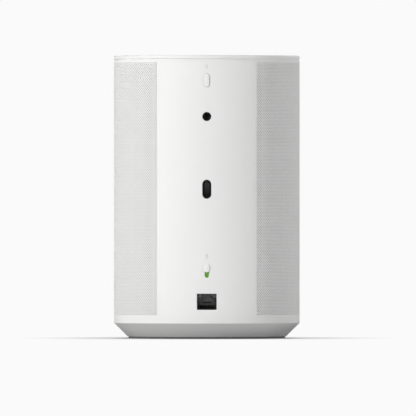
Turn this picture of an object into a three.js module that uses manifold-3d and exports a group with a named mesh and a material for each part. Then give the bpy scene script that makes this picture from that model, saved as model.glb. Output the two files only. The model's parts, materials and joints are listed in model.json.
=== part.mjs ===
// Compact smart speaker, powered and networked over one cable.
// Units are millimetres. +Z is up, the listening side faces -Y and the port side faces +Y.
// The origin is on the surface the speaker stands on, at the middle of its footprint.

import * as THREE from 'three';
import { mergeVertices } from 'three/addons/utils/BufferGeometryUtils.js';
import Module from 'manifold-3d';

const wasm = await Module();
wasm.setup();

// ---------- driving dimensions ----------

const WIDTH = 120;
const DEPTH = 130.5;
const HEIGHT = 182.5;
const RADIUS = WIDTH / 2; // both round sides of the plan outline
const ARC_CENTRE_Y = (DEPTH - WIDTH) / 2;
const BACK_Y = DEPTH / 2;
const GAP = 0.3; // clearance between pieces that meet

const FOOT = { top: 1.2, radius: 50.6, innerRadius: 36 };
const BASE = { top: 9.7, bottomRadius: 51, wall: 2, lipTop: 13.2, lipRadius: 57.9, lipWall: 1.7 };
const SHELL = { bottom: 10, top: 179.2, wall: 1.6 };
const PANEL = { halfWidth: 29.4, bottom: 13.2, wall: 2.2 };
const CLOTH = { radius: 58.1, thickness: 0.5, bottom: 13.9, top: 176.9, halfOpening: 31 };
const CAP = {
  bottom: 180.3, edge: 0.6, neckRadius: 59.5, skirtRadius: 57.2, skirtWall: 1.8, skirtBottom: 175,
  troughLength: 44, troughWidth: 9, troughDepth: 0.8, lightY: -34,
};
const BUTTON = { z: 166.4, width: 3.4, height: 8.8, proud: 0.8, slope: 0.3 };
const INSERT = { z: 143, holeRadius: 2.85, boreRadius: 1.65, bodyRadius: 3.6, rear: 53 };
const USB = { z: 96.25, width: 5.7, height: 12, recess: 5.2, shellWidth: 3.2, shellHeight: 8.9 };
const MIC_SWITCH = { z: 43.8, slotWidth: 2.8, slotHeight: 8.8, knobWidth: 3.4, knobHeight: 5.8, knobZ: 45.6 };
const JACK = { z: 23.9, width: 12.9, height: 10.35, recess: 1.3 };

const BOARD = { rear: 45.9, thickness: 1.6, halfWidth: 24, bottom: 15, top: 170.5 };
const TOUCH_BOARD = { bottom: 175, thickness: 1.6, radius: 50 };

const ENCLOSURE = { radius: 56.8, wall: 3, bottom: 14, top: 168, front: -38, rear: 28, seam: 0.4 };
const WOOFER = {
  z: 68, flangeRadius: 44.5, flangeInner: 36.5, flangeFront: -40.3, flangeThickness: 2,
  coneRadius: 30, coneFront: -38.2, coneRear: -24, neckRadius: 9.9, paper: 0.9,
  screwCircle: 41.3,
};
const TWEETER = { x: 24, y: -40, z: 140, turn: Math.PI / 6, flangeRadius: 16, podRadius: 19 };
const BASE_SCREW = { x: 20, frontY: -22, rearY: 18, headRadius: 3, shaftRadius: 1.4 };

// ---------- solids from closed three.js geometry ----------

function solid(geometry) {
  const bare = geometry.clone();
  bare.deleteAttribute('normal');
  bare.deleteAttribute('uv');
  const merged = mergeVertices(bare, 1e-4);
  return new wasm.Manifold(new wasm.Mesh({
    numProp: 3,
    vertProperties: new Float32Array(merged.attributes.position.array),
    triVerts: new Uint32Array(merged.index.array),
  }));
}

function geometryOf(manifold) {
  const mesh = manifold.getMesh();
  const geometry = new THREE.BufferGeometry();
  geometry.setAttribute('position', new THREE.BufferAttribute(mesh.vertProperties, 3));
  geometry.setIndex(new THREE.BufferAttribute(mesh.triVerts, 1));
  geometry.computeVertexNormals();
  return geometry;
}

function union(...pieces) {
  return pieces.reduce((whole, piece) => whole.add(piece));
}

function cut(body, ...tools) {
  return tools.reduce((left, tool) => left.subtract(tool), body);
}

// A block given by its lowest and highest corners.
function block(low, high) {
  const size = high.map((value, axis) => value - low[axis]);
  const geometry = new THREE.BoxGeometry(...size);
  geometry.translate(low[0] + size[0] / 2, low[1] + size[1] / 2, low[2] + size[2] / 2);
  return solid(geometry);
}

// The plan outline of the cabinet, moved in so that its round sides have this radius.
function outline(radius) {
  const shape = new THREE.Shape();
  shape.absarc(0, ARC_CENTRE_Y, radius, 0, Math.PI, false);
  shape.absarc(0, -ARC_CENTRE_Y, radius, Math.PI, 2 * Math.PI, false);
  return shape;
}

const OUTLINE_STEPS = 12;

// The plan outline as a solid between two heights.
function drum(radius, bottom, top) {
  const options = { depth: top - bottom, bevelEnabled: false, curveSegments: OUTLINE_STEPS };
  const geometry = new THREE.ExtrudeGeometry(outline(radius), options);
  geometry.translate(0, 0, bottom);
  return solid(geometry);
}

function tube(radius, wall, bottom, top) {
  return cut(drum(radius, bottom, top), drum(radius - wall, bottom - 1, top + 1));
}

// A slot shape with round ends, standing upright in the XZ plane and running from rear to front.
function slot(width, height, rear, front, z, slope = 0, steps = 5) {
  const radius = width / 2;
  const shape = new THREE.Shape();
  shape.absarc(0, height / 2 - radius, radius - slope, 0, Math.PI, false);
  shape.absarc(0, radius - height / 2, radius - slope, Math.PI, 2 * Math.PI, false);
  const geometry = new THREE.ExtrudeGeometry(shape, {
    depth: front - rear - 2 * slope,
    bevelEnabled: slope > 0,
    bevelThickness: slope,
    bevelSize: slope,
    bevelSegments: 1,
    curveSegments: steps,
  });
  geometry.rotateX(Math.PI / 2);
  geometry.translate(0, front - slope, z);
  return solid(geometry);
}

// A turned piece about the Y axis. The profile is a list of [radius, y] corners.
function turned(profile, steps = 24) {
  const points = profile.map(([radius, y]) => new THREE.Vector2(radius, y));
  const onAxis = profile[0][0] === 0 && profile.at(-1)[0] === 0;
  const ring = onAxis ? points : [...points, points[0].clone()];
  if (THREE.ShapeUtils.area(points) < 0) {
    ring.reverse();
  }
  return solid(new THREE.LatheGeometry(ring, steps));
}

// A turned piece that stands upright at a point.
function post(profile, x, y, steps = 16) {
  return turned(profile, steps).rotate([90, 0, 0]).translate([x, y, 0]);
}

function upright(radius, bottom, top, x, y, steps = 16) {
  const geometry = new THREE.CylinderGeometry(radius, radius, top - bottom, steps);
  geometry.rotateX(Math.PI / 2);
  geometry.translate(x, y, (top + bottom) / 2);
  return solid(geometry);
}

function bored(radius, rear, front, x, z, steps = 16) {
  const geometry = new THREE.CylinderGeometry(radius, radius, front - rear, steps);
  geometry.translate(x, (front + rear) / 2, z);
  return solid(geometry);
}

// A flat strip that follows a line of [y, z] points, between two x values.
function strip(points, thickness, xLow, xHigh) {
  const line = new THREE.SplineCurve(points.map(([y, z]) => new THREE.Vector2(y, z)));
  const steps = 24;
  const left = [];
  const right = [];
  for (let i = 0; i <= steps; i += 1) {
    const at = line.getPoint(i / steps);
    const along = line.getTangent(i / steps);
    const side = new THREE.Vector2(-along.y, along.x).multiplyScalar(thickness / 2);
    left.push(at.clone().add(side));
    right.unshift(at.clone().sub(side));
  }
  const shape = new THREE.Shape([...left, ...right]);
  const geometry = new THREE.ExtrudeGeometry(shape, { depth: xHigh - xLow, bevelEnabled: false });
  geometry.applyMatrix4(new THREE.Matrix4().set(0, 0, 1, xLow, 1, 0, 0, 0, 0, 1, 0, 0, 0, 0, 0, 1));
  return solid(geometry);
}

// ---------- finishes ----------

function finish(color, roughness, metalness = 0) {
  return new THREE.MeshStandardMaterial({ color, roughness, metalness });
}

const WHITE_PLASTIC = finish(0xe6e6e6, 0.6);
const BLACK_PLASTIC = finish(0x1b1b1c, 0.5);
const DARK_CLOTH = finish(0x3a3a3b, 0.95);
const RUBBER = finish(0x6a6a6c, 0.85);
const CIRCUIT_BOARD = finish(0x1d4a35, 0.5);
const STEEL = finish(0xb4b6b8, 0.35, 1);
const BLACK_STEEL = finish(0x26262a, 0.45, 1);
const ALUMINIUM = finish(0xc6c8ca, 0.4, 1);
const COPPER = finish(0xb26a3c, 0.35, 1);
const GOLD = finish(0xd8b25a, 0.3, 1);
const FERRITE = finish(0x2c2c2e, 0.7);
const PAPER = finish(0x232325, 0.9);
const CLEAR = finish(0xdfe6ea, 0.15);
const GREEN_PLASTIC = finish(0x5f9c34, 0.45);
const FOAM = finish(0x2a2a2c, 0.95);

const speaker = new THREE.Group();

function add(name, shape, material, parent = speaker) {
  const mesh = new THREE.Mesh(geometryOf(shape), material);
  mesh.name = name;
  parent.add(mesh);
  return mesh;
}

// ---------- outer shell ----------

// The full-depth point of a round side at a distance x from the middle of the back.
function backY(radius, x) {
  return ARC_CENTRE_Y + Math.sqrt(radius * radius - x * x);
}

function panelRegion(halfWidth, bottom) {
  return block([-halfWidth, ARC_CENTRE_Y + 20, bottom], [halfWidth, BACK_Y + 5, SHELL.top + 5]);
}

add(
  'grille_shell',
  cut(
    tube(RADIUS, SHELL.wall, SHELL.bottom, SHELL.top),
    panelRegion(PANEL.halfWidth + GAP / 2, PANEL.bottom),
  ),
  WHITE_PLASTIC,
);

add(
  'acoustic_cloth',
  cut(
    tube(CLOTH.radius, CLOTH.thickness, CLOTH.bottom, CLOTH.top),
    panelRegion(CLOTH.halfOpening, CLOTH.bottom - 1),
  ),
  DARK_CLOTH,
);

function backPanel() {
  const skin = tube(RADIUS, PANEL.wall, PANEL.bottom + GAP, SHELL.top);
  const plate = skin.intersect(panelRegion(PANEL.halfWidth - GAP / 2, PANEL.bottom));
  const inside = backY(RADIUS - PANEL.wall, 0);
  const boss = bored(INSERT.bodyRadius + 2, INSERT.rear, inside + 1, 0, INSERT.z, 20);
  const halfWidth = JACK.width / 2;
  const halfHeight = JACK.height / 2;
  return cut(
    union(plate, boss),
    slot(BUTTON.width + 0.5, BUTTON.height + 0.5, 50, 70, BUTTON.z, 0, 8),
    bored(INSERT.holeRadius, INSERT.rear - 1, 70, 0, INSERT.z, 24),
    bored(INSERT.bodyRadius + GAP, INSERT.rear - 1, inside - 1, 0, INSERT.z, 24),
    slot(USB.width, USB.height, 50, 70, USB.z, 0, 10),
    slot(MIC_SWITCH.slotWidth, MIC_SWITCH.slotHeight, 50, 70, MIC_SWITCH.z, 0, 8),
    block([-halfWidth, 50, JACK.z - halfHeight], [halfWidth, 70, JACK.z + halfHeight]),
  );
}

add('back_panel', backPanel(), WHITE_PLASTIC);

function topCap() {
  const plateOutline = outline(RADIUS - CAP.edge);
  const geometry = new THREE.ExtrudeGeometry(plateOutline, {
    depth: HEIGHT - CAP.bottom - 2 * CAP.edge,
    bevelThickness: CAP.edge,
    bevelSize: CAP.edge,
    bevelSegments: 1,
    curveSegments: OUTLINE_STEPS,
  });
  geometry.translate(0, 0, CAP.bottom + CAP.edge);
  const neck = tube(CAP.neckRadius, 4.1, SHELL.top + GAP, CAP.bottom + 0.1);
  const skirt = tube(CAP.skirtRadius, CAP.skirtWall, CAP.skirtBottom, CAP.bottom + 0.1);
  const trough = slot(CAP.troughWidth, CAP.troughLength, 0, 5, 0, 0, 6)
    .rotate([90, 0, 0])
    .rotate([0, 0, 90])
    .translate([0, 0, HEIGHT - CAP.troughDepth]);
  const ports = MICROPHONES.map(([x, y]) => upright(0.7, CAP.bottom - 1, HEIGHT + 1, x, y, 8));
  const lightPort = upright(1.2, CAP.bottom - 1, HEIGHT + 1, 0, CAP.lightY, 12);
  return cut(union(solid(geometry), neck, skirt), trough, ...ports, lightPort);
}

const MICROPHONES = [[-30, -26], [30, -26], [-30, 26], [30, 26]];

add('top_cap', topCap(), WHITE_PLASTIC);
add(
  'status_light_guide',
  upright(0.9, TOUCH_BOARD.bottom + TOUCH_BOARD.thickness + GAP, HEIGHT - 0.1, 0, CAP.lightY, 12),
  CLEAR,
);
add(
  'touch_board',
  drum(TOUCH_BOARD.radius, TOUCH_BOARD.bottom, TOUCH_BOARD.bottom + TOUCH_BOARD.thickness),
  CIRCUIT_BOARD,
);
MICROPHONES.forEach(([x, y], index) => {
  const bottom = TOUCH_BOARD.bottom + TOUCH_BOARD.thickness + 0.1;
  add(`microphone_${index + 1}`, block([x - 1.8, y - 1.4, bottom], [x + 1.8, y + 1.4, bottom + 1.1]), STEEL);
});

const BASE_SCREWS = [BASE_SCREW.frontY, BASE_SCREW.rearY]
  .flatMap((y) => [[-BASE_SCREW.x, y], [BASE_SCREW.x, y]]);

function chamferedDrum(bottomRadius, topRadius, bottom, top) {
  const geometry = new THREE.ExtrudeGeometry(outline(bottomRadius), {
    depth: 1,
    bevelThickness: top - bottom,
    bevelSize: topRadius - bottomRadius,
    bevelSegments: 1,
    curveSegments: OUTLINE_STEPS,
  });
  geometry.translate(0, 0, top);
  return solid(geometry).intersect(block([-99, -99, bottom - 1], [99, 99, top]));
}

function baseShell() {
  const outside = chamferedDrum(BASE.bottomRadius, RADIUS, FOOT.top, BASE.top);
  const innerFloor = FOOT.top + BASE.wall;
  const hollow = chamferedDrum(BASE.bottomRadius - 1.5, RADIUS - 1.5, innerFloor, BASE.top + BASE.wall);
  const lip = tube(BASE.lipRadius, BASE.lipWall, BASE.top - 3, BASE.lipTop);
  const bosses = BASE_SCREWS.map(([x, y]) => upright(4.6, FOOT.top, BASE.lipTop, x, y));
  const holes = BASE_SCREWS.flatMap(([x, y]) => [
    upright(BASE_SCREW.headRadius + 0.4, FOOT.top - 1, FOOT.top + 2.8, x, y),
    upright(BASE_SCREW.shaftRadius + 0.4, FOOT.top, BASE.lipTop + 1, x, y),
  ]);
  return cut(union(cut(outside, hollow), lip, ...bosses), ...holes);
}

add('base_shell', baseShell(), WHITE_PLASTIC);
add('rubber_foot', tube(FOOT.radius, FOOT.radius - FOOT.innerRadius, 0, FOOT.top), RUBBER);

// ---------- screws ----------

// A cross-recessed pan-head screw that points up, its head at the bottom.
function screw(headRadius, headHeight, shaftRadius, length) {
  const body = post(
    [[0, 0], [headRadius * 0.8, 0], [headRadius, headHeight * 0.4], [headRadius, headHeight],
      [shaftRadius, headHeight], [shaftRadius, length - 1], [0, length]],
    0,
    0,
    14,
  );
  const arm = headRadius * 0.55;
  const half = headRadius * 0.12;
  const depth = headHeight * 0.6;
  return cut(
    body,
    block([-arm, -half, -1], [arm, half, depth]),
    block([-half, -arm, -1], [half, arm, depth]),
  );
}

BASE_SCREWS.forEach(([x, y], index) => {
  const shape = screw(BASE_SCREW.headRadius, 1.9, BASE_SCREW.shaftRadius, 19);
  add(`base_screw_${index + 1}`, shape, BLACK_STEEL).position.set(x, y, FOOT.top + 0.7);
});

for (let i = 0; i < 4; i += 1) {
  const angle = Math.PI / 4 + (i * Math.PI) / 2;
  const mesh = add(`woofer_screw_${i + 1}`, screw(2.5, 1.6, 1.3, 10), BLACK_STEEL);
  mesh.rotation.x = -Math.PI / 2;
  mesh.position.set(
    WOOFER.screwCircle * Math.cos(angle),
    WOOFER.flangeFront - 1.8,
    WOOFER.z + WOOFER.screwCircle * Math.sin(angle),
  );
}

// ---------- sealed acoustic enclosure ----------

function wooferScrewHoles(radius) {
  return [0, 1, 2, 3].map((i) => {
    const angle = Math.PI / 4 + (i * Math.PI) / 2;
    return bored(
      radius,
      WOOFER.flangeFront - 1,
      ENCLOSURE.front + 12,
      WOOFER.screwCircle * Math.cos(angle),
      WOOFER.z + WOOFER.screwCircle * Math.sin(angle),
      10,
    );
  });
}

// A piece built about a tweeter's own axis, moved to where the left or right tweeter sits.
function atTweeter(shape, side) {
  return shape
    .rotate([0, 0, (side * TWEETER.turn * 180) / Math.PI])
    .translate([side * TWEETER.x, TWEETER.y, TWEETER.z]);
}

function enclosure() {
  const { radius, wall, bottom, top, front, rear } = ENCLOSURE;
  const outside = drum(radius, bottom, top).intersect(block([-99, front, 0], [99, rear, 200]));
  const inside = drum(radius - wall, bottom + wall, top - wall)
    .intersect(block([-99, front + wall, 0], [99, rear - wall, 200]));
  const pods = [-1, 1].map((side) => atTweeter(bored(TWEETER.podRadius, -3, 9, 0, 0, 24), side));
  const podBores = [-1, 1].map((side) => (
    atTweeter(bored(TWEETER.flangeRadius + 0.5, -20, 30, 0, 0, 24), side)));
  const bosses = BASE_SCREWS.map(([x, y]) => upright(4.2, bottom, bottom + 10, x, y, 12));
  const screwHoles = BASE_SCREWS.map(([x, y]) => upright(1.8, bottom - 1, bottom + 8.5, x, y, 12));
  const wooferHole = bored(39, front - 1, front + wall + 1, 0, WOOFER.z, 36);
  const leadHole = bored(2.4, rear - wall - 1, rear + 1, 0, 60, 12);
  return cut(
    union(cut(outside, inside), ...pods, ...bosses),
    ...podBores,
    ...screwHoles,
    wooferHole,
    leadHole,
    ...wooferScrewHoles(1.6),
  );
}

const wholeEnclosure = enclosure();
const frontHalf = block([-99, -99, 0], [99, -ENCLOSURE.seam, 200]);
const rearHalf = block([-99, ENCLOSURE.seam, 0], [99, 99, 200]);
add('enclosure_front', wholeEnclosure.intersect(frontHalf), BLACK_PLASTIC);
add('enclosure_rear', wholeEnclosure.intersect(rearHalf), BLACK_PLASTIC);

function gasket() {
  const { radius, wall, bottom, top, seam } = ENCLOSURE;
  const halfThickness = seam - 0.1;
  const slice = block([-99, -halfThickness, 0], [99, halfThickness, 200]);
  const inset = 0.4;
  const rim = drum(radius - inset, bottom + inset, top - inset);
  return cut(rim, drum(radius - wall + inset, bottom + wall - inset, top - wall + inset)).intersect(slice);
}

add('enclosure_gasket', gasket(), FOAM);

// ---------- woofer ----------

const woofer = new THREE.Group();
woofer.position.z = WOOFER.z;
speaker.add(woofer);

function wooferBasket() {
  const front = WOOFER.flangeFront;
  const back = front + WOOFER.flangeThickness;
  const bowl = turned([
    [WOOFER.flangeInner, front], [WOOFER.flangeRadius, front], [WOOFER.flangeRadius, back],
    [38.4, back], [37.9, -28], [21.5, -15], [11.5, -15], [11.5, -17], [20.5, -17], [36.3, -28.6],
  ], 32);
  const windows = [0, 60, 120].map((turn) => (
    block([-45, -33.5, -7], [45, -21, 7]).rotate([0, turn, 0])));
  const holes = wooferScrewHoles(1.6).map((hole) => hole.translate([0, 0, -WOOFER.z]));
  return cut(bowl, ...windows, ...holes);
}

// The rolled edge that carries the cone.
function surroundProfile() {
  const middle = (WOOFER.coneRadius + WOOFER.flangeInner) / 2;
  const roll = 2.6;
  const paper = 0.6;
  const steps = 4;
  const outer = [];
  const inner = [];
  for (let i = 0; i <= steps; i += 1) {
    const angle = (Math.PI * i) / steps;
    const reach = Math.cos(angle);
    const rise = Math.sin(angle);
    outer.push([middle - roll * reach, -38.7 - roll * rise]);
    inner.unshift([middle - (roll - paper) * reach, -38.7 - (roll - paper) * rise]);
  }
  return [...outer, ...inner];
}

add('woofer_basket', wooferBasket(), BLACK_STEEL, woofer);
add('woofer_surround', turned(surroundProfile()), RUBBER, woofer);
add(
  'woofer_cone',
  turned([
    [WOOFER.neckRadius, WOOFER.coneRear], [WOOFER.coneRadius, WOOFER.coneFront],
    [WOOFER.coneRadius, WOOFER.coneFront + WOOFER.paper],
    [WOOFER.neckRadius, WOOFER.coneRear + WOOFER.paper],
  ], 32),
  PAPER,
  woofer,
);
add(
  'woofer_dust_cap',
  turned([
    [0, -29], [4, -28.5], [7.2, -27.2], [9.3, -25.2], [9.3, -24.4], [6.9, -26.4], [3.8, -27.7], [0, -28.2],
  ], 20),
  PAPER,
  woofer,
);
add('woofer_voice_coil', turned([[8.8, -23.6], [9.6, -23.6], [9.6, -8], [8.8, -8]], 24), COPPER, woofer);
add(
  'woofer_spider',
  turned([
    [10, -20.3], [12.5, -21], [15, -19.6], [17.5, -21], [20, -19.6], [22.6, -20.3], [22.6, -19.8],
    [20, -19.1], [17.5, -20.5], [15, -19.1], [12.5, -20.5], [10, -19.8],
  ], 20),
  finish(0xb5902f, 0.9),
  woofer,
);
add('woofer_top_plate', turned([[10.4, -14.7], [24, -14.7], [24, -11.7], [10.4, -11.7]]), STEEL, woofer);
add('woofer_magnet', turned([[12, -11.4], [28, -11.4], [28, -1.4], [12, -1.4]]), FERRITE, woofer);
add(
  'woofer_yoke',
  turned([[0, -14.2], [8.4, -14.2], [8.4, -1.1], [26, -1.1], [26, 2.4], [0, 2.4]]),
  STEEL,
  woofer,
);

// ---------- tweeters ----------

for (const [side, name] of [[-1, 'left'], [1, 'right']]) {
  const tweeter = new THREE.Group();
  tweeter.position.set(side * TWEETER.x, TWEETER.y, TWEETER.z);
  tweeter.rotation.z = side * TWEETER.turn;
  speaker.add(tweeter);
  add(
    `tweeter_waveguide_${name}`,
    turned([
      [6.6, 0.5], [8, -2.2], [12.5, -4], [TWEETER.flangeRadius, -4], [TWEETER.flangeRadius, -2.4],
      [12.4, -2], [10.2, 2], [6.6, 2],
    ], 24),
    BLACK_PLASTIC,
    tweeter,
  );
  add(
    `tweeter_dome_${name}`,
    turned([[0, -2.2], [3.4, -1.5], [6, 0.6], [6, 1.4], [5.4, 1.4], [3.1, -0.8], [0, -1.5]], 20),
    finish(0x9aa0a6, 0.5),
    tweeter,
  );
  add(
    `tweeter_motor_${name}`,
    turned([[0, 2.4], [10, 2.4], [11, 3.4], [11, 11], [10, 12], [0, 12]], 20),
    BLACK_STEEL,
    tweeter,
  );
}

// ---------- controls on the back ----------

function pairingButton() {
  const top = BACK_Y + BUTTON.proud;
  const panelInside = backY(RADIUS - PANEL.wall, 3);
  const cap = slot(BUTTON.width, BUTTON.height, panelInside - 2, top, BUTTON.z, BUTTON.slope, 8);
  const flangeFront = panelInside - GAP;
  const flange = slot(BUTTON.width + 2.4, BUTTON.height + 2.4, flangeFront - 1.2, flangeFront, BUTTON.z);
  const stem = bored(1.3, 50.3, flangeFront - 1, 0, BUTTON.z, 12);
  return union(cap, flange, stem);
}

add('pairing_button', pairingButton(), WHITE_PLASTIC);

const BOARD_FACE = BOARD.rear + 0.2;

add(
  'pairing_switch',
  union(
    block([-3.1, BOARD_FACE, BUTTON.z - 3.1], [3.1, BOARD_FACE + 2.2, BUTTON.z + 3.1]),
    bored(1.7, BOARD_FACE + 2, BOARD_FACE + 3.2, 0, BUTTON.z, 14),
  ),
  BLACK_PLASTIC,
);

const CARRIER = { halfWidth: 3.2, bottom: 37.2, top: 51.6, rear: 60.6, front: 61.8 };

const NECK = { width: MIC_SWITCH.slotWidth - 0.4, height: MIC_SWITCH.knobHeight - 1 };

// The knob rides just over the panel's face, on a neck that passes through the slot.
function micSlider() {
  const { knobWidth, knobHeight, knobZ } = MIC_SWITCH;
  const knob = slot(knobWidth, knobHeight, BACK_Y + 0.15, BACK_Y + 0.8, knobZ, 0.3, 8);
  const neck = slot(NECK.width, NECK.height, CARRIER.rear, BACK_Y + 0.3, knobZ, 0, 6);
  const carrier = block(
    [-CARRIER.halfWidth, CARRIER.rear, CARRIER.bottom],
    [CARRIER.halfWidth, CARRIER.front, CARRIER.top],
  );
  const stem = block([-1, 52.6, knobZ - 1.4], [1, CARRIER.rear + 0.5, knobZ + 1.4]);
  return union(knob, neck, carrier, stem);
}

function micIndicator() {
  const plate = block(
    [-CARRIER.halfWidth + 0.2, CARRIER.front + 0.1, CARRIER.bottom + 0.2],
    [CARRIER.halfWidth - 0.2, CARRIER.front + 0.6, CARRIER.top - 0.2],
  );
  return cut(plate, slot(NECK.width + 0.4, NECK.height + 0.4, 50, 70, MIC_SWITCH.knobZ, 0, 6));
}

add('mic_switch_slider', micSlider(), WHITE_PLASTIC);
add('mic_switch_indicator', micIndicator(), GREEN_PLASTIC);
add(
  'mic_switch_body',
  cut(
    block([-3.2, BOARD_FACE, 35], [3.2, BOARD_FACE + 8, 53]),
    block([-1.4, BOARD_FACE + 5.6, 38.6], [1.4, BOARD_FACE + 9, 49.4]),
  ),
  BLACK_STEEL,
);

// ---------- ports on the back ----------

add(
  'mounting_insert',
  turned([
    [0, INSERT.rear], [INSERT.bodyRadius, INSERT.rear], [INSERT.bodyRadius, 61.6],
    [INSERT.holeRadius - 0.15, 61.6], [INSERT.holeRadius - 0.15, 64.9], [INSERT.holeRadius - 0.4, 64.9],
    [INSERT.boreRadius, 64], [INSERT.boreRadius, INSERT.rear + 1.5], [0, INSERT.rear + 1.5],
  ], 24).translate([0, 0, INSERT.z]),
  BLACK_STEEL,
);

function usbRecess() {
  const front = BACK_Y - 0.25;
  const floor = front - USB.recess;
  const clear = 0.3;
  const cup = slot(USB.width - clear, USB.height - clear, floor - 1.2, front, USB.z, 0, 10);
  const hollow = slot(USB.width - 1.1, USB.height - 1.1, floor, front + 1, USB.z, 0, 10);
  const aperture = slot(USB.shellWidth + 0.6, USB.shellHeight + 0.6, floor - 3, floor + 1, USB.z, 0, 8);
  return cut(cup, hollow, aperture);
}

function usbReceptacle() {
  const front = BACK_Y - USB.recess - 0.6;
  const wall = 0.3;
  const shell = slot(USB.shellWidth, USB.shellHeight, BOARD_FACE, front, USB.z, 0, 8);
  const opening = slot(
    USB.shellWidth - 2 * wall, USB.shellHeight - 2 * wall, BOARD_FACE + 5, front + 1, USB.z, 0, 8);
  return cut(shell, opening);
}

add('usb_recess', usbRecess(), BLACK_PLASTIC);
add('usb_receptacle', usbReceptacle(), STEEL);
add(
  'usb_tongue',
  block([-0.35, BOARD_FACE + 5.3, USB.z - 3.3], [0.35, BACK_Y - USB.recess - 1.8, USB.z + 3.3]),
  BLACK_PLASTIC,
);

const JACK_FACE = BACK_Y - JACK.recess;
const JACK_HOUSING = { halfWidth: 7.7, bottom: 16.4, top: 30.8, front: 62, cavityRear: 51 };
const JACK_CAVITY = { halfWidth: 5.85, bottom: 19.5, top: 26.2 };
const JACK_LIGHT = { x: 4.75, z: 27.5, radius: 0.95 };

function jackHousing() {
  const { halfWidth, bottom, top, front, cavityRear } = JACK_HOUSING;
  const body = block([-halfWidth, BOARD_FACE, bottom], [halfWidth, front, top]);
  const snoutHalf = JACK.width / 2 - 0.25;
  const snout = block(
    [-snoutHalf, front - 1, JACK.z - JACK.height / 2 + 0.25],
    [snoutHalf, JACK_FACE, JACK.z + JACK.height / 2 - 0.25],
  );
  const cavity = block(
    [-JACK_CAVITY.halfWidth, cavityRear, JACK_CAVITY.bottom],
    [JACK_CAVITY.halfWidth, 70, JACK_CAVITY.top],
  );
  const latchWide = block([-3.1, cavityRear, JACK_CAVITY.top - 1], [3.1, 70, 27.3]);
  const latchNarrow = block([-2.2, cavityRear, JACK_CAVITY.top - 1], [2.2, 70, 28.3]);
  const lightHoles = [-1, 1].map((side) => (
    bored(JACK_LIGHT.radius + 0.25, cavityRear, 70, side * JACK_LIGHT.x, JACK_LIGHT.z, 14)));
  return cut(union(body, snout), cavity, latchWide, latchNarrow, ...lightHoles);
}

function jackShield() {
  const { halfWidth, bottom, top, front } = JACK_HOUSING;
  const grow = (by, rear, fore) => block(
    [-halfWidth - by, rear, bottom - by],
    [halfWidth + by, fore, top + by],
  );
  return cut(grow(0.5, BOARD_FACE, front - 0.6), grow(0.2, BOARD_FACE - 1, front + 1));
}

// Eight sprung wires on one carrier bar, sloping up from the mouth to the back of the cavity.
function jackContacts() {
  const pitch = 1.02;
  const wire = new THREE.Shape();
  wire.moveTo(53.4, 22.9);
  wire.lineTo(53.4, 22.5);
  wire.lineTo(60.4, 19.9);
  wire.lineTo(60.9, 19.9);
  wire.lineTo(60.9, 20.4);
  const bar = block([-4.1, 60.2, 19.7], [4.1, 61, 20.3]);
  const wires = [...Array(8).keys()].map((i) => {
    const geometry = new THREE.ExtrudeGeometry(wire, { depth: 0.45, bevelEnabled: false });
    const x = (i - 3.5) * pitch - 0.225;
    geometry.applyMatrix4(new THREE.Matrix4().set(0, 0, 1, x, 1, 0, 0, 0, 0, 1, 0, 0, 0, 0, 0, 1));
    return solid(geometry);
  });
  return union(bar, ...wires);
}

add('rj45_housing', jackHousing(), BLACK_PLASTIC);
add('rj45_shield', jackShield(), STEEL);
add('rj45_contacts', jackContacts(), GOLD);
for (const [side, name] of [[-1, 'left'], [1, 'right']]) {
  add(
    `rj45_light_guide_${name}`,
    bored(JACK_LIGHT.radius, JACK_HOUSING.cavityRear + GAP, JACK_FACE - 0.1, side * JACK_LIGHT.x, JACK_LIGHT.z, 14),
    CLEAR,
  );
}

// ---------- electronics ----------

const BOARD_FRONT = BOARD.rear - BOARD.thickness;

add(
  'main_board',
  block([-BOARD.halfWidth, BOARD_FRONT, BOARD.bottom], [BOARD.halfWidth, BOARD.rear, BOARD.top]),
  CIRCUIT_BOARD,
);

function heatSink() {
  const plate = block([-20, 40.6, 92], [20, 43.4, 140]);
  const fins = [...Array(8).keys()].map((i) => {
    const x = -19.4 + i * 5.4;
    return block([x, 31, 92], [x + 1.2, 41, 140]);
  });
  return union(plate, ...fins);
}

add('heat_sink', heatSink(), ALUMINIUM);
add(
  'poe_transformer',
  union(
    block([-9, 31, 30], [9, 43, 34]),
    block([-9, 31, 44], [9, 43, 48]),
    block([-7, 33, 33], [7, 41.5, 45]),
    block([-9, 42, 30], [9, 44, 48]),
  ),
  FERRITE,
);
add('bulk_capacitor', bored(5.2, 30.5, BOARD_FRONT - 0.2, -11, 76, 18), ALUMINIUM);
add('filter_capacitor', bored(4, 32.5, BOARD_FRONT - 0.2, 11, 76, 18), ALUMINIUM);
add(
  'processor_shield',
  block([-13, BOARD_FACE, 108], [13, BOARD_FACE + 2.6, 134]),
  STEEL,
);
add('antenna', block([30, 40, 128], [31, 50, 166]), CIRCUIT_BOARD);
add(
  'ribbon_cable',
  strip([[46.4, 158], [46.4, 166], [46.2, 171.5], [43.5, 173.4], [38, 173.6], [31, 174.4]], 0.4, 8, 20),
  finish(0xd9d4c4, 0.5),
);

export default speaker;
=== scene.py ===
import json
import math

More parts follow.
